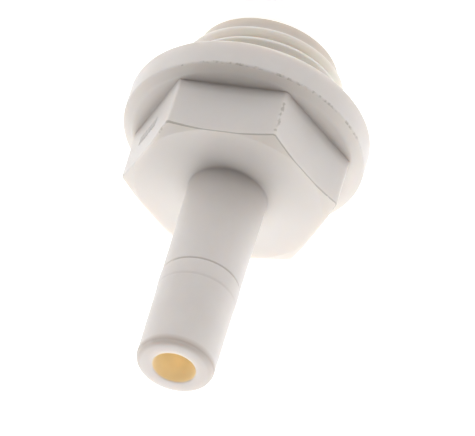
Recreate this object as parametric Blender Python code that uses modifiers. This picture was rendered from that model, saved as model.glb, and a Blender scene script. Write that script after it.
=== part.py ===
"""Push-in stem adapter: a plain 8 mm stem on a G 3/8 male parallel thread, with a flange and a 19 mm hexagon.

The body is one plastic moulding. It stands on its threaded end, with its axis on +Z and the stem up.
A sealing ring sits in a recess of the flange, round the undercut at the end of the thread.
Metres are used throughout; MM turns the millimetre values below into metres.
"""

import math

import bmesh
import bpy
from mathutils import Matrix

MM = 0.001

# Overall heights along the axis, from the threaded end face
HEIGHT = 39.7 * MM
FLANGE_SEAT_Z = 7.65 * MM
FLANGE_RIM_Z = 10.55 * MM
HEX_BASE_Z = 11.1 * MM
HEX_TOP_Z = 17.15 * MM

# G 3/8 parallel pipe thread: 19 threads per inch, Whitworth form, major diameter 16.41 to 16.66 mm
THREAD_MAJOR_R = 16.5 / 2 * MM
THREAD_PITCH = 25.4 / 19 * MM
THREAD_HALF_ANGLE = math.radians(27.5)
THREAD_DEPTH = 0.6403 * THREAD_PITCH
THREAD_FLAT = THREAD_PITCH / 6
THREAD_START_Z = 1.53 * MM
THREAD_END_Z = 5.25 * MM
THREAD_CREST_Z_AT_X = 2.68 * MM
THREAD_TURNS = 4
LEAD_IN_R = 7.18 * MM
LEAD_IN_CHAMFER = 0.35 * MM
UNDERCUT_R = 6.95 * MM

# Flange and hexagon
FLANGE_R = 12.225 * MM
FLANGE_FLAT_R = 10.9 * MM
FLANGE_EDGE = 0.35 * MM
HEX_ACROSS_FLATS = 19.0 * MM
HEX_EDGE_ROUNDING = 0.45 * MM
HEX_CHAMFER_R = 9.55 * MM
HEX_CHAMFER_ANGLE = math.radians(20)
HEX_ROOT_Z = 9.5 * MM

# Stem: slightly tapered, with a fine ring line and a raised band towards the tip
STEM_ROOT_R = 4.0 * MM
STEM_TIP_R = 3.92 * MM
STEM_FILLET = 0.2 * MM
STEM_TIP_ROUNDING = 0.6 * MM
RING_LINE_Z = 28.8 * MM
RING_LINE_WIDTH = 0.24 * MM
RING_LINE_DEPTH = 0.12 * MM

# Waterway
STEM_BORE_R = 2.15 * MM
COUNTERBORE_R = 5.45 * MM
COUNTERBORE_DEPTH = 12.4 * MM
BORE_CONE_TOP_Z = 15.3 * MM
MOUTH_CHAMFER = 0.4 * MM
CUTTER_MARGIN = 2.0 * MM

# Sealing ring, in a recess of the flange's seat face
SEAL_SECTION_R = 1.0 * MM
SEAL_GAP = 0.3 * MM
SEAL_RECESS_R = 9.55 * MM
SEAL_RECESS_DEPTH = 1.5 * MM

TURN_STEPS = 64
THREAD_STEPS = 48
SEAL_SIDES = 12
MERGE = 1e-5

THREAD_ROOT_R = THREAD_MAJOR_R - THREAD_DEPTH


def clear_scene():
    for obj in list(bpy.data.objects):
        bpy.data.objects.remove(obj, do_unlink=True)


def new_collection(name):
    collection = bpy.data.collections.new(name)
    bpy.context.scene.collection.children.link(collection)
    return collection


def add_object(name, mesh, collection):
    obj = bpy.data.objects.new(name, mesh)
    collection.objects.link(obj)
    return obj


def plastic(name, colour, roughness):
    material = bpy.data.materials.new(name)
    material.use_nodes = True
    shader = material.node_tree.nodes["Principled BSDF"]
    shader.inputs["Base Color"].default_value = (*colour, 1)
    shader.inputs["Roughness"].default_value = roughness
    shader.inputs["Metallic"].default_value = 0.0
    return material


def arc(centre_r, centre_z, radius, start, end, steps):
    """Points of an arc in the profile plane, angles in degrees from +R towards +Z."""
    points = []
    for i in range(steps + 1):
        angle = math.radians(start + (end - start) * i / steps)
        points.append((centre_r + radius * math.cos(angle), centre_z + radius * math.sin(angle)))
    return points


def turned(name, profile, collection):
    """A profile of (radius, height) points turned about Z. It runs down its outer side."""
    mesh = bpy.data.meshes.new(name)
    edges = [(i, i + 1) for i in range(len(profile) - 1)]
    mesh.from_pydata([(r, 0, z) for r, z in profile], edges, [])
    obj = add_object(name, mesh, collection)
    screw = obj.modifiers.new("Turn", "SCREW")
    screw.axis = "Z"
    screw.angle = math.tau
    screw.steps = screw.render_steps = TURN_STEPS
    screw.use_merge_vertices = True
    screw.merge_threshold = MERGE
    screw.use_smooth_shade = True
    return obj


def boolean(target, other, operation):
    modifier = target.modifiers.new(other.name, "BOOLEAN")
    modifier.operation = operation
    modifier.solver = "EXACT"
    modifier.object = other
    return modifier


def as_helper(obj):
    obj.hide_render = True
    obj.display_type = "WIRE"
    return obj


def body_profile():
    """The outside of the moulding without its hexagon and thread grooves, from the tip to the end face."""
    def stem_r(z):
        share = (z - HEX_TOP_Z) / (HEIGHT - HEX_TOP_Z)
        return STEM_ROOT_R + (STEM_TIP_R - STEM_ROOT_R) * share

    tip_centre_r = STEM_TIP_R - STEM_TIP_ROUNDING
    line_top = RING_LINE_Z + RING_LINE_WIDTH / 2
    line_bottom = RING_LINE_Z - RING_LINE_WIDTH / 2
    fillet_z = HEX_TOP_Z + STEM_FILLET
    fillet_r = stem_r(fillet_z) + STEM_FILLET
    edge = FLANGE_EDGE
    thread_chamfer = THREAD_MAJOR_R - LEAD_IN_R
    recess_z = FLANGE_SEAT_Z + SEAL_RECESS_DEPTH
    undercut_chamfer = (THREAD_MAJOR_R - UNDERCUT_R) * math.tan(math.radians(35))
    return [
        (0, HEIGHT),
        *arc(tip_centre_r, HEIGHT - STEM_TIP_ROUNDING, STEM_TIP_ROUNDING, 90, 0, 4),
        (stem_r(line_top), line_top),
        (stem_r(RING_LINE_Z) - RING_LINE_DEPTH, RING_LINE_Z),
        (stem_r(line_bottom), line_bottom),
        *arc(fillet_r, fillet_z, STEM_FILLET, 180, 270, 3),
        (HEX_CHAMFER_R - edge, HEX_TOP_Z - edge),
        (HEX_CHAMFER_R - edge, HEX_BASE_Z),
        (FLANGE_FLAT_R, HEX_BASE_Z),
        *arc(FLANGE_R - edge, FLANGE_RIM_Z - edge, edge, 70, 0, 3),
        *arc(FLANGE_R - edge, FLANGE_SEAT_Z + edge, edge, 0, -90, 3),
        (SEAL_RECESS_R, FLANGE_SEAT_Z),
        (SEAL_RECESS_R, recess_z),
        (UNDERCUT_R, recess_z),
        (UNDERCUT_R, THREAD_END_Z),
        (THREAD_MAJOR_R, THREAD_END_Z - undercut_chamfer),
        (THREAD_MAJOR_R, THREAD_START_Z + thread_chamfer * 0.6),
        (LEAD_IN_R, THREAD_START_Z),
        (LEAD_IN_R, LEAD_IN_CHAMFER),
        (LEAD_IN_R - LEAD_IN_CHAMFER, 0),
        (0, 0),
    ]


def make_hexagon(helpers):
    """A prism with rounded upright edges, cut by a cone so that its end corners are chamfered."""
    mesh = bpy.data.meshes.new("hexagon")
    work = bmesh.new()
    corner_r = HEX_ACROSS_FLATS / 2 / math.cos(math.pi / 6)
    depth = HEX_TOP_Z - HEX_ROOT_Z
    bmesh.ops.create_cone(
        work, cap_ends=True, segments=6, radius1=corner_r, radius2=corner_r, depth=depth
    )
    bmesh.ops.rotate(work, verts=work.verts, matrix=corner_onto_x(work))
    bmesh.ops.translate(work, verts=work.verts, vec=(0, 0, HEX_ROOT_Z + depth / 2))
    upright = [e for e in work.edges if abs(e.verts[0].co.z - e.verts[1].co.z) > depth / 2]
    bmesh.ops.bevel(work, geom=upright, offset=HEX_EDGE_ROUNDING, segments=3, profile=0.5, affect="EDGES")
    work.to_mesh(mesh)
    work.free()
    prism = as_helper(add_object("hexagon", mesh, helpers))

    reach = corner_r + CUTTER_MARGIN
    drop = (reach - HEX_CHAMFER_R) * math.tan(HEX_CHAMFER_ANGLE)
    envelope = turned(
        "hexagon_chamfer",
        [
            (0, HEX_TOP_Z + CUTTER_MARGIN),
            (HEX_CHAMFER_R - CUTTER_MARGIN / math.tan(HEX_CHAMFER_ANGLE), HEX_TOP_Z + CUTTER_MARGIN),
            (reach, HEX_TOP_Z - drop),
            (reach, HEX_ROOT_Z - CUTTER_MARGIN),
            (0, HEX_ROOT_Z - CUTTER_MARGIN),
        ],
        helpers,
    )
    boolean(prism, as_helper(envelope), "INTERSECT")
    return prism


def corner_onto_x(work):
    """The turn about Z that brings a corner of the prism onto +X, so that two flats face +Y and -Y."""
    corner = next(iter(work.verts)).co
    return Matrix.Rotation(-math.atan2(corner.y, corner.x), 3, "Z")


def make_thread_groove(helpers):
    """The helical V groove: a trapezium swept up the thread, closed at both ends."""
    outer_r = THREAD_MAJOR_R + 0.12 * MM
    half_root = THREAD_FLAT / 2
    half_mouth = half_root + (outer_r - THREAD_ROOT_R) * math.tan(THREAD_HALF_ANGLE)
    start_z = THREAD_START_Z - THREAD_PITCH * 0.75
    turn = math.tau * (start_z - THREAD_CREST_Z_AT_X - THREAD_PITCH / 2) / THREAD_PITCH
    profile = [
        (outer_r, start_z + half_mouth),
        (outer_r, start_z - half_mouth),
        (THREAD_ROOT_R, start_z - half_root),
        (THREAD_ROOT_R, start_z + half_root),
    ]
    mesh = bpy.data.meshes.new("thread_groove_sweep")
    edges = [(i, (i + 1) % len(profile)) for i in range(len(profile))]
    mesh.from_pydata([(r, 0, z) for r, z in profile], edges, [])
    sweep = add_object("thread_groove_sweep", mesh, helpers)
    screw = sweep.modifiers.new("Helix", "SCREW")
    screw.axis = "Z"
    screw.angle = math.tau
    screw.screw_offset = THREAD_PITCH
    screw.iterations = THREAD_TURNS
    screw.steps = screw.render_steps = THREAD_STEPS
    screw.use_merge_vertices = False

    bpy.context.view_layer.update()
    swept = bpy.data.meshes.new_from_object(sweep.evaluated_get(bpy.context.evaluated_depsgraph_get()))
    bpy.data.objects.remove(sweep, do_unlink=True)
    work = bmesh.new()
    work.from_mesh(swept)
    bmesh.ops.remove_doubles(work, verts=work.verts, dist=MERGE)
    bmesh.ops.holes_fill(work, edges=[e for e in work.edges if e.is_boundary], sides=len(profile))
    bmesh.ops.recalc_face_normals(work, faces=work.faces)
    work.to_mesh(swept)
    work.free()
    groove = as_helper(add_object("thread_groove", swept, helpers))
    groove.rotation_euler.z = turn
    return groove


def make_waterway(helpers):
    """The bore through the stem, widening in a cone to the counterbore of the threaded end."""
    top = HEIGHT + CUTTER_MARGIN
    bottom = -CUTTER_MARGIN
    mouth_r = COUNTERBORE_R + MOUTH_CHAMFER
    cutter = turned(
        "waterway",
        [
            (0, top),
            (STEM_BORE_R, top),
            (STEM_BORE_R, BORE_CONE_TOP_Z),
            (COUNTERBORE_R, COUNTERBORE_DEPTH),
            (COUNTERBORE_R, MOUTH_CHAMFER),
            (mouth_r, 0),
            (mouth_r, bottom),
            (0, bottom),
        ],
        helpers,
    )
    return as_helper(cutter)


def make_body(parts, helpers):
    body = turned("stem_adapter_body", body_profile(), parts)
    boolean(body, make_hexagon(helpers), "UNION")
    boolean(body, make_thread_groove(helpers), "DIFFERENCE")
    boolean(body, make_waterway(helpers), "DIFFERENCE")
    body.data.materials.append(plastic("white_acetal", (0.80, 0.76, 0.71), 0.38))
    return body


def make_seal(parts):
    """An O-ring round the undercut, standing a little proud of the flange's recess."""
    bpy.ops.mesh.primitive_torus_add(
        major_radius=UNDERCUT_R + SEAL_GAP + SEAL_SECTION_R,
        minor_radius=SEAL_SECTION_R,
        major_segments=TURN_STEPS,
        minor_segments=SEAL_SIDES,
        location=(0, 0, FLANGE_SEAT_Z + SEAL_RECESS_DEPTH - SEAL_GAP - SEAL_SECTION_R),
    )
    seal = bpy.context.object
    seal.name = "sealing_ring"
    seal.data.shade_smooth()
    for collection in list(seal.users_collection):
        collection.objects.unlink(seal)
    parts.objects.link(seal)
    seal.data.materials.append(plastic("black_nitrile", (0.03, 0.03, 0.03), 0.55))
    return seal


def main():
    clear_scene()
    parts = new_collection("push_in_stem_adapter")
    helpers = new_collection("cutters")
    make_body(parts, helpers)
    make_seal(parts)


main()
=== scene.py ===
"""The looks of the push-in stem adapter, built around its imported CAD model.

The moulding is one lathe-like sheet. A profile is worked out at every angle round the axis, with the
hexagon, the screw thread and all the small roundings in it, and the profiles are joined into one closed
surface.
"""

import math
from typing import NamedTuple

import bmesh
import bpy
from mathutils import Matrix, Vector


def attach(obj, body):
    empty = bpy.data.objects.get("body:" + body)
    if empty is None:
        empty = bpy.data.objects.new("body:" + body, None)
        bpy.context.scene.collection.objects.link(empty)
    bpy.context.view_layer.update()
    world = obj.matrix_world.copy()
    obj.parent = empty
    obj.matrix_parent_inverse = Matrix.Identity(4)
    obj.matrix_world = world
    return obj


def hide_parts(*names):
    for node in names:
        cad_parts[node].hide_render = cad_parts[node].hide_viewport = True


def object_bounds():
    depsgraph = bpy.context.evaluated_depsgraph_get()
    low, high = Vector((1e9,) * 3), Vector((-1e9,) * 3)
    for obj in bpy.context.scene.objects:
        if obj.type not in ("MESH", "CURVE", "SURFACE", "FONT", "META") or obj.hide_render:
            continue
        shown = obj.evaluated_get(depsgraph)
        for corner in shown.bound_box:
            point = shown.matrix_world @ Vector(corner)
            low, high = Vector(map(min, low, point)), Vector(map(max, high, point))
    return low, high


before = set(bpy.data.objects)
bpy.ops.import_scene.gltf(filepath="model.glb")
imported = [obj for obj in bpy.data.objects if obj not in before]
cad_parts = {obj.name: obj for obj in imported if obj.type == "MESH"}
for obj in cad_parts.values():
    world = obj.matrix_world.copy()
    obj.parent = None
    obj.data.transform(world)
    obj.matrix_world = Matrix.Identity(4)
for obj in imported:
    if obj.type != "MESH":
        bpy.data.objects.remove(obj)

cad_low, cad_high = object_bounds()

MM = 0.001


# ---------------------------------------------------------------- sizes, in millimetres and degrees

HEIGHT = (cad_high.z - cad_low.z) / MM
FLANGE_R = (cad_high.x - cad_low.x) / 2 / MM
FLANGE_SEAT_Z = 7.65
FLANGE_RIM_Z = 10.55
FLANGE_SLOPE_R = 11.2
HEX_BASE_Z = 11.1
HEX_TOP_Z = 17.15

HEX_APOTHEM = 9.5
HEX_CORNER_ROUNDING = 0.45
HEX_CHAMFER_R = 9.55
HEX_CHAMFER_SLOPE = math.tan(math.radians(20))

THREAD_MAJOR_R = 16.5 / 2
THREAD_PITCH = 25.4 / 19
THREAD_HALF_ANGLE = math.radians(27.5)
THREAD_DEPTH = 0.6403 * THREAD_PITCH
THREAD_ROUNDING = 0.1373 * THREAD_PITCH
THREAD_START_Z = 1.53
THREAD_END_Z = 5.25
THREAD_CREST_Z_AT_X = 2.68
THREAD_RUN_IN_SLOPE = 1.7
THREAD_RUN_OUT_SLOPE = 1.45
THREAD_OVERLAP = 0.1
THREAD_ROWS = 110
LEAD_IN_R = 7.18
LEAD_IN_LAND = 0.15
UNDERCUT_R = 6.95

STEM_ROOT_R = 4.0
STEM_TIP_R = 3.92
RING_LINE_Z = 28.8
RING_LINE_WIDTH = 0.3
RING_LINE_DEPTH = 0.12
BAND_TOP_Z = 30.55
BAND_PROUD = 0.05
STEM_TIP_ROUNDING = 0.6
STEM_TIP_MIDDLE = 0.29 * STEM_TIP_ROUNDING

STEM_BORE_R = 2.15
COUNTERBORE_R = 5.45
COUNTERBORE_DEPTH = 12.4
BORE_CONE_TOP_Z = 15.3

SEAL_RECESS_R = 9.55
SEAL_RECESS_DEPTH = 1.5

MARKED_FLAT = -30
MARK_COUNT = 7
MARK_SPACING = 0.62
MARK_FIRST = -2.1 * MARK_SPACING
MARK_WIDTH = 0.24
MARK_HEIGHT = 1.1
MARK_PROUD = 0.05
MARK_ROUNDING = 0.025
MARK_Z = 14.0


# ---------------------------------------------------------------- mould flash, and painted shade in the creases

# The flash lies round one worn corner of the hexagon: its place and how far it reaches, in degrees.
WORN_CORNER = -120
WORN_REACH = 130
WORN_EDGE_REACH = 12
WORN_EDGE_WIDTH = 3.5

# Amounts of flash and of painted shade (at the stem's tip, in the ring line, round the stem's root and in the
# crease at the hexagon's foot). Noise is added to the flash, and what comes over 1 shows.
LEAST_FLASH = 0.02
MOST_FLASH = 1.25
FLANGE_FLASH = 0.53
UPRIGHT_FLASH = 0.68
TIP_PAINTED_SHADE = 0.47
LINE_PAINTED_SHADE = 0.16
ROOT_PAINTED_SHADE = 0.2
CREASE_PAINTED_SHADE = 0.32

# The most that a corner's arc takes of a side, and the margin outside it where its flash ends.
ARC_SHARE = 0.44
MARGIN_SHARE = 0.05
FLASH_MARGIN = 0.05


# ---------------------------------------------------------------- the moulding's shape

def corner_angles():
    """Angles from a hexagon corner to the middle of a flat, close together on the rounded corner."""
    close = [0.0, 0.33, 0.66, 0.99, 1.32, 1.8, 2.6]
    return close + [4.0 + 2.0 * i for i in range(13)]


def angles_round():
    """Every angle of the sheet, in radians, once round from a corner on +X."""
    half = corner_angles()
    sector = half + [30.0] + [60.0 - a for a in reversed(half[1:])]
    return [math.radians(60 * k + a) for k in range(6) for a in sector]


def hexagon_r(angle):
    """Radius of the hexagon with rounded corners, which has a corner on +X."""
    from_corner = (angle + math.pi / 6) % (math.pi / 3) - math.pi / 6
    from_flat = math.pi / 6 - abs(from_corner)
    inner = HEX_APOTHEM - HEX_CORNER_ROUNDING
    if HEX_APOTHEM * math.tan(from_flat) <= inner * math.tan(math.pi / 6):
        return HEX_APOTHEM / math.cos(from_flat)
    centre = inner / math.cos(math.pi / 6)
    across = centre * math.sin(from_corner)
    return centre * math.cos(from_corner) + math.sqrt(HEX_CORNER_ROUNDING**2 - across**2)


def thread_r(angle, z):
    """Radius of the threaded stretch: Whitworth form, right-handed, faded out by cones at both ends."""
    crest_z = THREAD_CREST_Z_AT_X + THREAD_PITCH * angle / math.tau
    along = (z - crest_z) / THREAD_PITCH
    off_crest = abs(along - round(along)) * THREAD_PITCH
    off_root = THREAD_PITCH / 2 - off_crest
    root_r = THREAD_MAJOR_R - THREAD_DEPTH
    arc_reach = THREAD_ROUNDING * math.cos(THREAD_HALF_ANGLE)
    if off_crest < arc_reach:
        r = THREAD_MAJOR_R - THREAD_ROUNDING + math.sqrt(THREAD_ROUNDING**2 - off_crest**2)
    elif off_root < arc_reach:
        r = root_r + THREAD_ROUNDING - math.sqrt(THREAD_ROUNDING**2 - off_root**2)
    else:
        middle_r = THREAD_MAJOR_R - THREAD_DEPTH / 2
        r = middle_r + (THREAD_PITCH / 4 - off_crest) / math.tan(THREAD_HALF_ANGLE)
    run_in = LEAD_IN_R + (z - THREAD_START_Z) * THREAD_RUN_IN_SLOPE
    run_out = UNDERCUT_R + (THREAD_END_Z - z) * THREAD_RUN_OUT_SLOPE
    core = LEAD_IN_R if z < THREAD_START_Z + LEAD_IN_LAND else UNDERCUT_R
    return max(core, min(r, run_in, run_out))


class Corner(NamedTuple):
    """A corner of the outline. With no steps it is a plain point, and else an arc of that many steps."""

    r: float
    z: float
    rounding: float = 0
    steps: int = 0
    flash: float = 0
    painted_shade: float = 0


def rounded(corners):
    """The closed outline through the corners, as points (r, z, flash, painted shade).

    A rounded corner's flash ends just outside its arc, at one more point on either side.
    """
    points = []
    for i, corner in enumerate(corners):
        if not corner.steps:
            points.append((corner.r, corner.z, corner.flash, corner.painted_shade))
            continue
        here = Vector(corner[:2])
        before = Vector(corners[i - 1][:2]) - here
        after = Vector(corners[(i + 1) % len(corners)][:2]) - here
        half = before.angle(after) / 2
        room = ARC_SHARE * min(before.length, after.length)
        reach = min(corner.rounding / math.tan(half), room)
        centre = here + (before.normalized() + after.normalized()).normalized() * reach / math.cos(half)
        start = here + before.normalized() * reach - centre
        end = here + after.normalized() * reach - centre
        sweep = start.angle_signed(end)
        arc = []
        for k in range(corner.steps + 1):
            turn = Matrix.Rotation(-sweep * k / corner.steps, 2)
            arc.append((*(centre + turn @ start), corner.flash, corner.painted_shade))
        clean = []
        for side in (before, after):
            margin = min(FLASH_MARGIN, MARGIN_SHARE * side.length)
            clean.append((*(here + side.normalized() * (reach + margin)), 0, corner.painted_shade))
        points += [clean[0], *arc, clean[1]] if corner.flash else arc
    return points


def near(angle, middle, reach):
    """1 at the middle angle, falling smoothly to 0 at the reach on either side; both in degrees."""
    off = abs((math.degrees(angle) - middle + 180) % 360 - 180)
    return 0.5 + 0.5 * math.cos(math.pi * min(off / reach, 1))


def stem_r(z):
    """Radius of the stem, which tapers evenly from its root to its tip."""
    share = (z - HEX_TOP_Z) / (HEIGHT - HEX_TOP_Z)
    return STEM_ROOT_R + (STEM_TIP_R - STEM_ROOT_R) * share


def stem_outline():
    """The stem, from the rim of its tip down to its root."""
    line_low = RING_LINE_Z - RING_LINE_WIDTH / 2
    line_high = RING_LINE_Z + RING_LINE_WIDTH / 2
    band_r = stem_r(line_high) + BAND_PROUD
    return [
        Corner(STEM_TIP_R - STEM_TIP_ROUNDING, HEIGHT),
        # These corners carry painted shade: a dark band at the tip's rim, in the ring line's groove and round
        # the stem's root.
        Corner(STEM_TIP_R - STEM_TIP_MIDDLE, HEIGHT - STEM_TIP_MIDDLE, 0.45, 4, painted_shade=0.3 * TIP_PAINTED_SHADE),
        Corner(STEM_TIP_R, HEIGHT - STEM_TIP_ROUNDING, 0.45, 4, painted_shade=TIP_PAINTED_SHADE),
        Corner(STEM_TIP_R, HEIGHT - 1.15),
        Corner(stem_r(BAND_TOP_Z), BAND_TOP_Z + 0.25, 0.3, 2),
        Corner(stem_r(BAND_TOP_Z) + BAND_PROUD, BAND_TOP_Z, 0.1, 2),
        Corner(band_r, line_high + 0.05),
        Corner(band_r, line_high, 0.05, 2, painted_shade=0.375 * LINE_PAINTED_SHADE),
        Corner(stem_r(RING_LINE_Z) - RING_LINE_DEPTH, RING_LINE_Z, 0.05, 2, painted_shade=LINE_PAINTED_SHADE),
        Corner(stem_r(line_low), line_low, 0.05, 2, painted_shade=0.375 * LINE_PAINTED_SHADE),
        Corner(stem_r(line_low), line_low - 0.08),
        Corner(STEM_ROOT_R - 0.02, HEX_TOP_Z + 7),
        Corner(STEM_ROOT_R, HEX_TOP_Z + 2, painted_shade=0.4 * ROOT_PAINTED_SHADE),
        Corner(STEM_ROOT_R, HEX_TOP_Z + 0.5, painted_shade=0.6 * ROOT_PAINTED_SHADE),
        Corner(STEM_ROOT_R, HEX_TOP_Z, 0.2, 5, painted_shade=ROOT_PAINTED_SHADE),
    ]


def hexagon_outline(angle, worn):
    """The hexagon at one angle, from its end face down to the flange round its foot."""
    hex_r = hexagon_r(angle)
    chamfer_r = min(HEX_CHAMFER_R, hex_r - 0.12)
    shoulder_z = HEX_TOP_Z - (hex_r - chamfer_r) * HEX_CHAMFER_SLOPE
    shoulder_rounding = 0.12 + 0.3 * near(angle, MARKED_FLAT, 50)
    from_corner = abs((math.degrees(angle) + 30) % 60 - 30)
    on_edge = max(0, 1 - from_corner / WORN_EDGE_WIDTH) * near(angle, WORN_CORNER, WORN_EDGE_REACH)
    foot = FLANGE_SLOPE_R - hex_r
    return [
        # Painted shade round the stem's root on the end face.
        Corner(STEM_ROOT_R + 0.7, HEX_TOP_Z, painted_shade=0.35 * ROOT_PAINTED_SHADE),
        Corner(STEM_ROOT_R + 1.6, HEX_TOP_Z),
        Corner(chamfer_r, HEX_TOP_Z, 0.3, 3),
        Corner(hex_r, shoulder_z, shoulder_rounding, 3, flash=worn),
        Corner(hex_r, shoulder_z - 0.6, flash=UPRIGHT_FLASH * on_edge),
        Corner(hex_r, HEX_BASE_Z + 1.2, flash=UPRIGHT_FLASH * on_edge),
        # Painted shade in the crease round the hexagon's foot, fading out over the flange.
        Corner(hex_r, HEX_BASE_Z, 0.12, 3, painted_shade=CREASE_PAINTED_SHADE),
        Corner(hex_r + 0.15 * foot, HEX_BASE_Z, painted_shade=0.8 * CREASE_PAINTED_SHADE),
        Corner(hex_r + 0.35 * foot, HEX_BASE_Z, painted_shade=0.35 * CREASE_PAINTED_SHADE),
        Corner(hex_r + 0.6 * foot, HEX_BASE_Z),
    ]


def flange_outline(worn):
    """The flange, from the slope round its top to the undercut, with the sealing ring's recess."""
    recess_z = FLANGE_SEAT_Z + SEAL_RECESS_DEPTH
    return [
        Corner(FLANGE_SLOPE_R, HEX_BASE_Z, 1.5, 6),
        Corner(FLANGE_R, FLANGE_RIM_Z, 0.25, 4, flash=FLANGE_FLASH * worn),
        Corner(FLANGE_R, FLANGE_SEAT_Z, 0.25, 4),
        Corner(SEAL_RECESS_R, FLANGE_SEAT_Z, 0.12, 2),
        Corner(SEAL_RECESS_R, recess_z, 0.2, 3),
        Corner(UNDERCUT_R, recess_z, 0.2, 3),
    ]


def thread_outline(angle):
    """The threaded stretch at one angle, from the undercut down to the lead-in."""
    top = THREAD_END_Z + THREAD_OVERLAP
    low = THREAD_START_Z - THREAD_OVERLAP
    heights = [top + (low - top) * row / THREAD_ROWS for row in range(THREAD_ROWS + 1)]
    return [Corner(thread_r(angle, z), z) for z in heights]


def bore_outline():
    """The threaded end face and the waterway, up to the stem's tip."""
    return [
        Corner(LEAD_IN_R, 0, 0.35, 4),
        Corner(COUNTERBORE_R, 0, 0.35, 4),
        Corner(COUNTERBORE_R, COUNTERBORE_DEPTH, 0.4, 4),
        Corner(STEM_BORE_R, BORE_CONE_TOP_Z, 0.8, 4),
        Corner(STEM_BORE_R, HEIGHT, 0.2, 4),
    ]


def profile(angle):
    """The whole outline at one angle, from the stem's tip down the outside and back up through the bore.

    The flash on the worn edges is nowhere quite 0, because all profiles need the same number of points.
    """
    worn = min(1, LEAST_FLASH + MOST_FLASH * near(angle, WORN_CORNER, WORN_REACH))
    outside = stem_outline() + hexagon_outline(angle, worn) + flange_outline(worn)
    return rounded(outside + thread_outline(angle) + bore_outline())


def closed_sheet(name, columns, attributes):
    """A closed surface through columns of points: both the rows and the columns join up end to end.

    Each attribute has a name and a list with a value for every point.
    """
    work = bmesh.new()
    grid = [[work.verts.new(Vector(p) * MM) for p in column] for column in columns]
    for i, column in enumerate(grid):
        after = grid[(i + 1) % len(grid)]
        for j in range(len(column)):
            k = (j + 1) % len(column)
            work.faces.new((column[j], column[k], after[k], after[j]))
    bmesh.ops.recalc_face_normals(work, faces=work.faces)
    mesh = bpy.data.meshes.new(name)
    work.to_mesh(mesh)
    work.free()
    for attribute, values in attributes.items():
        mesh.attributes.new(attribute, "FLOAT", "POINT").data.foreach_set("value", values)
    mesh.shade_smooth()
    obj = bpy.data.objects.new(name, mesh)
    bpy.context.scene.collection.objects.link(obj)
    return obj


def make_moulding():
    columns = []
    flash = []
    painted_shade = []
    for angle in angles_round():
        outline = profile(angle)
        columns.append([(r * math.cos(angle), r * math.sin(angle), z) for r, z, _, _ in outline])
        flash += [point[2] for point in outline]
        painted_shade += [point[3] for point in outline]
    return closed_sheet("adapter_moulding", columns, {"flash": flash, "painted_shade": painted_shade})


def make_marks(material):
    """A row of plain raised bars on one flat, where such fittings carry a moulded marking."""
    turn = Matrix.Rotation(math.radians(MARKED_FLAT), 4, "Z")
    size = Vector((2 * MARK_PROUD, MARK_WIDTH, MARK_HEIGHT)) * MM
    work = bmesh.new()
    for i in range(MARK_COUNT):
        across = MARK_FIRST + i * MARK_SPACING
        place = Matrix.Translation(Vector((HEX_APOTHEM, across, MARK_Z)) * MM)
        bmesh.ops.create_cube(work, size=1, matrix=turn @ place @ Matrix.Diagonal((*size, 1)))
    bevel = {"offset": MARK_ROUNDING * MM, "segments": 2, "profile": 0.5, "affect": "EDGES"}
    bmesh.ops.bevel(work, geom=work.edges[:], **bevel)
    mesh = bpy.data.meshes.new("moulded_marks")
    work.to_mesh(mesh)
    work.free()
    mesh.shade_smooth()
    marks = bpy.data.objects.new("moulded_marks", mesh)
    bpy.context.scene.collection.objects.link(marks)
    marks.data.materials.append(material)
    return marks


# ---------------------------------------------------------------- materials

def new_material(name):
    material = bpy.data.materials.new(name)
    material.use_nodes = True
    return material, material.node_tree, material.node_tree.nodes["Principled BSDF"]


class Graph:
    """Short calls for the node chains of one material."""

    def __init__(self, tree):
        self.nodes, self.links = tree.nodes, tree.links

    def feed(self, socket, value):
        if hasattr(value, "links"):
            self.links.new(value, socket)
        else:
            socket.default_value = value

    def math(self, operation, first, second=0.0):
        node = self.nodes.new("ShaderNodeMath")
        node.operation = operation
        self.feed(node.inputs[0], first)
        self.feed(node.inputs[1], second)
        return node.outputs[0]

    def between(self, value, low, high):
        """0 below low and 1 above high, or the other way round where low is the greater."""
        node = self.nodes.new("ShaderNodeMapRange")
        node.interpolation_type = "SMOOTHSTEP"
        self.feed(node.inputs["Value"], value)
        for name, edge in (("From Min", low), ("From Max", high)):
            node.inputs[name].default_value = edge
        return node.outputs["Result"]

    def blend(self, share, first, second):
        node = self.nodes.new("ShaderNodeMix")
        node.data_type = "RGBA"
        self.feed(node.inputs["Factor"], share)
        self.feed(node.inputs["A"], first)
        self.feed(node.inputs["B"], second)
        return node.outputs["Result"]

    def split(self, vector):
        node = self.nodes.new("ShaderNodeSeparateXYZ")
        self.links.new(vector, node.inputs["Vector"])
        return node.outputs

    def noise(self, place, scale, detail):
        node = self.nodes.new("ShaderNodeTexNoise")
        self.links.new(place, node.inputs["Vector"])
        node.inputs["Scale"].default_value = scale
        node.inputs["Detail"].default_value = detail
        return node.outputs["Fac"]

    def attribute(self, name):
        node = self.nodes.new("ShaderNodeAttribute")
        node.attribute_name = name
        return node.outputs["Fac"]


BODY_DIM = (0.645, 0.607, 0.582, 1)
BODY_LIGHT = (0.69, 0.655, 0.63, 1)
# Painted light: the faces that look up are made lighter and creamier.
PAINTED_TOP_LIGHT = (0.80, 0.755, 0.71, 1)
# Painted light on the thread: a lighter cream for light coming through its thin wall, and a painted highlight
# on the crests; darker on the lead-in.
LEAD_IN_CREAM = (0.70, 0.65, 0.595, 1)
THREAD_PAINTED_LIGHT = (0.86, 0.82, 0.775, 1)
CREST_PAINTED_HIGHLIGHT = (0.90, 0.86, 0.81, 1)
# Painted light in the bore: an amber colour and a glow that stand in for light coming through the plastic.
BORE_PAINTED_AMBER = (0.6, 0.55, 0.45, 1)
PAINTED_BORE_GLOW = (1, 0.65, 0.25, 1)
FLASH_GREY = (0.46, 0.43, 0.40, 1)
# The dark brown of the painted shade.
PAINTED_SHADE_BROWN = (0.3, 0.2, 0.13, 1)

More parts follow.
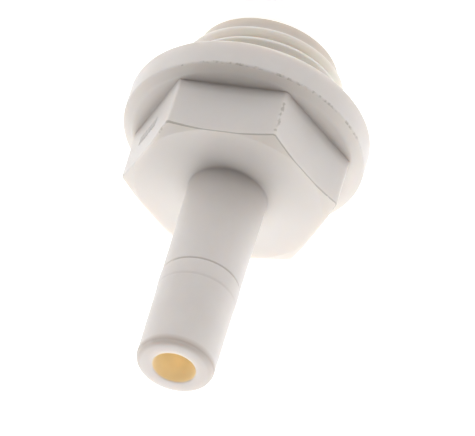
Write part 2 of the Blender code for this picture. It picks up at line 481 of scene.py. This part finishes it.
MOTTLE_SCALE = 350
PAINTED_GLOW_SCALE = 500
RUBBER_SCALE = 900
FLASH_SCALE = 2000

# How much of the painted light on the faces that look up is mixed in.
PAINTED_TOP_LIGHT_SHARE = 0.5
# How far the painted shade darkens the colour.
PAINTED_SHADE_SHARE = 0.72
PAINTED_GLOW_STRENGTH = 0.2
ACETAL_TRANSLUCENCY = 0.75


def plastic_colour_and_painted_light(graph, place, normal, radius, z):
    """The colour of the plastic, mottled, with painted light: lighter and creamier on the faces that look up,
    and on the thread a lighter cream with painted highlights on the crests.
    """
    colour = graph.blend(graph.noise(place, MOTTLE_SCALE, 3), BODY_DIM, BODY_LIGHT)
    # Painted light: lighter and creamier on the faces that look up, at the hexagon's end face.
    painted_top_light_mask = graph.math(
        "MULTIPLY",
        graph.between(graph.split(normal)["Z"], 0.5, 0.95),
        graph.between(z, (HEX_TOP_Z + 1) * MM, HEX_TOP_Z * MM),
    )
    colour = graph.blend(graph.math("MULTIPLY", painted_top_light_mask, PAINTED_TOP_LIGHT_SHARE), colour, PAINTED_TOP_LIGHT)
    # Painted light on the thread: lighter cream, a painted highlight on the crests, darker on the lead-in.
    painted_crest_highlight = graph.between(radius, (THREAD_MAJOR_R - 0.3) * MM, (THREAD_MAJOR_R - 0.1) * MM)
    thread = graph.blend(painted_crest_highlight, THREAD_PAINTED_LIGHT, CREST_PAINTED_HIGHLIGHT)
    lead_in = graph.between(z, (THREAD_START_Z + 0.2) * MM, THREAD_START_Z * MM)
    thread = graph.blend(lead_in, thread, LEAD_IN_CREAM)
    return graph.blend(graph.between(z, FLANGE_SEAT_Z * MM, THREAD_END_Z * MM), colour, thread)


def acetal(name, translucency):
    """Translucent white plastic with flash and painted shade, and a painted amber glow in the bore that
    stands in for light coming through.
    """
    material, tree, shader = new_material(name)
    graph = Graph(tree)
    coords = graph.nodes.new("ShaderNodeTexCoord")
    place = coords.outputs["Object"]
    x, y, z = graph.split(place)
    radius = graph.math("SQRT", graph.math("ADD", graph.math("MULTIPLY", x, x), graph.math("MULTIPLY", y, y)))
    colour = plastic_colour_and_painted_light(graph, place, coords.outputs["Normal"], radius, z)
    # Painted light: the bore is coloured amber and made to glow, standing in for light that comes through the
    # plastic.
    bore = graph.math(
        "MULTIPLY",
        graph.between(radius, (STEM_BORE_R + 0.2) * MM, (STEM_BORE_R + 0.06) * MM),
        graph.between(z, (HEIGHT - 0.02) * MM, (HEIGHT - 0.15) * MM),
    )
    colour = graph.blend(bore, colour, BORE_PAINTED_AMBER)
    flash = graph.math("ADD", graph.attribute("flash"), graph.noise(place, FLASH_SCALE, 2))
    colour = graph.blend(graph.between(flash, 1.0, 1.25), colour, FLASH_GREY)
    # Painted shade: darker brown in the creases, in the ring line, at the tip and round the stem's root.
    painted_shade = graph.math("MULTIPLY", graph.attribute("painted_shade"), PAINTED_SHADE_SHARE)
    colour = graph.blend(painted_shade, colour, PAINTED_SHADE_BROWN)
    graph.links.new(colour, shader.inputs["Base Color"])
    uneven = graph.math("MULTIPLY", graph.noise(place, PAINTED_GLOW_SCALE, 1), PAINTED_GLOW_STRENGTH)
    painted_glow = graph.math("ADD", PAINTED_GLOW_STRENGTH, uneven)
    graph.links.new(graph.math("MULTIPLY", bore, painted_glow), shader.inputs["Emission Strength"])
    shader.inputs["Emission Color"].default_value = PAINTED_BORE_GLOW
    shader.inputs["Roughness"].default_value = 0.4
    shader.inputs["Subsurface Weight"].default_value = translucency
    shader.inputs["Subsurface Radius"].default_value = (1.0, 0.8, 0.6)
    shader.inputs["Subsurface Scale"].default_value = 0.0016
    return material


def rubber():
    """Matt black rubber with a fine grain."""
    material, tree, shader = new_material("seal_rubber")
    graph = Graph(tree)
    place = graph.nodes.new("ShaderNodeTexCoord").outputs["Object"]
    bump = graph.nodes.new("ShaderNodeBump")
    bump.inputs["Strength"].default_value = 0.15
    bump.inputs["Distance"].default_value = 0.0001
    graph.links.new(graph.noise(place, RUBBER_SCALE, 2), bump.inputs["Height"])
    graph.links.new(bump.outputs["Normal"], shader.inputs["Normal"])
    shader.inputs["Base Color"].default_value = (0.025, 0.025, 0.027, 1)
    shader.inputs["Roughness"].default_value = 0.5
    return material


# ---------------------------------------------------------------- pieces

def make_pieces():
    moulding = make_moulding()
    moulding.data.materials.append(acetal("white_acetal", ACETAL_TRANSLUCENCY))
    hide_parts("stem_adapter_body")
    marks = make_marks(acetal("white_acetal_marks", 0))
    for piece in (moulding, marks):
        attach(piece, "root")
    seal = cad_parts["sealing_ring"]
    seal.data.materials.clear()
    seal.data.materials.append(rubber())


# ---------------------------------------------------------------- stage, light and camera

CAMERA_DISTANCE = 1485 * MM
CAMERA_LENS = 1135.8
CAMERA_AZIMUTH = -105.946
CAMERA_ELEVATION = 38.102
CAMERA_ROLL = -162.786
CAMERA_TARGET = Vector((1.084, 9.589, 12.137)) * MM

FLOOR_SIZE = 6
FLOOR_GAP = 0.05 * MM
FLOOR_WHITE = (0.9, 0.9, 0.9, 1)
FLOOR_GLOW = 0.57

SKY_STRENGTH = 0.24
SOFTBOX_WIDTH = 50

# Azimuth and elevation in degrees, and strength, of each softbox.
SOFTBOXES = {
    "left_softbox": (135, 25, 1.04),
    "right_softbox": (45, 25, 0.84),
    "far_right_softbox": (0, 25, 0.56),
    "back_softbox": (90, 25, 0.49),
    "top_left_softbox": (112, 55, 0.4),
    "top_right_softbox": (67, 55, 0.69),
    "top_far_left_softbox": (157, 55, 0.27),
}


def direction(azimuth, elevation):
    """The unit vector towards a place in the sky. Azimuth 0 is +X, and both angles are in degrees."""
    across = math.cos(math.radians(elevation))
    return Vector((
        across * math.cos(math.radians(azimuth)),
        across * math.sin(math.radians(azimuth)),
        math.sin(math.radians(elevation)),
    ))


def make_camera():
    data = bpy.data.cameras.new("camera")
    data.lens = CAMERA_LENS
    data.clip_start = 0.01
    data.clip_end = 20
    camera = bpy.data.objects.new("camera", data)
    toward = direction(CAMERA_AZIMUTH, CAMERA_ELEVATION)
    upright = toward.to_track_quat("Z", "Y").to_matrix().to_4x4()
    roll = Matrix.Rotation(math.radians(CAMERA_ROLL), 4, "Z")
    camera.matrix_world = Matrix.Translation(CAMERA_TARGET + toward * CAMERA_DISTANCE) @ upright @ roll
    bpy.context.scene.collection.objects.link(camera)
    bpy.context.scene.camera = camera


def make_floor():
    bpy.ops.mesh.primitive_plane_add(size=FLOOR_SIZE, location=(0, 0, cad_low.z - FLOOR_GAP))
    floor = bpy.context.object
    floor.name = "floor"
    material, _, shader = new_material("pale_floor")
    shader.inputs["Base Color"].default_value = FLOOR_WHITE
    shader.inputs["Roughness"].default_value = 0.9
    shader.inputs["Emission Color"].default_value = (1, 1, 1, 1)
    shader.inputs["Emission Strength"].default_value = FLOOR_GLOW
    floor.data.materials.append(material)


def soft_light(name, azimuth, elevation, strength):
    """A large far softbox: a sun lamp that fills a wide part of the sky."""
    data = bpy.data.lights.new(name, "SUN")
    data.angle = math.radians(SOFTBOX_WIDTH)
    data.energy = strength
    light = bpy.data.objects.new(name, data)
    light.rotation_euler = direction(azimuth, elevation).to_track_quat("Z", "Y").to_euler()
    bpy.context.scene.collection.objects.link(light)


def make_light():
    world = bpy.data.worlds.new("studio")
    bpy.context.scene.world = world
    world.use_nodes = True
    background = world.node_tree.nodes["Background"]
    background.inputs["Color"].default_value = (1, 1, 1, 1)
    background.inputs["Strength"].default_value = SKY_STRENGTH
    for name, (azimuth, elevation, strength) in SOFTBOXES.items():
        soft_light(name, azimuth, elevation, strength)


def main():
    bpy.context.scene.view_settings.view_transform = "Standard"
    make_camera()
    make_pieces()
    make_floor()
    make_light()


main()
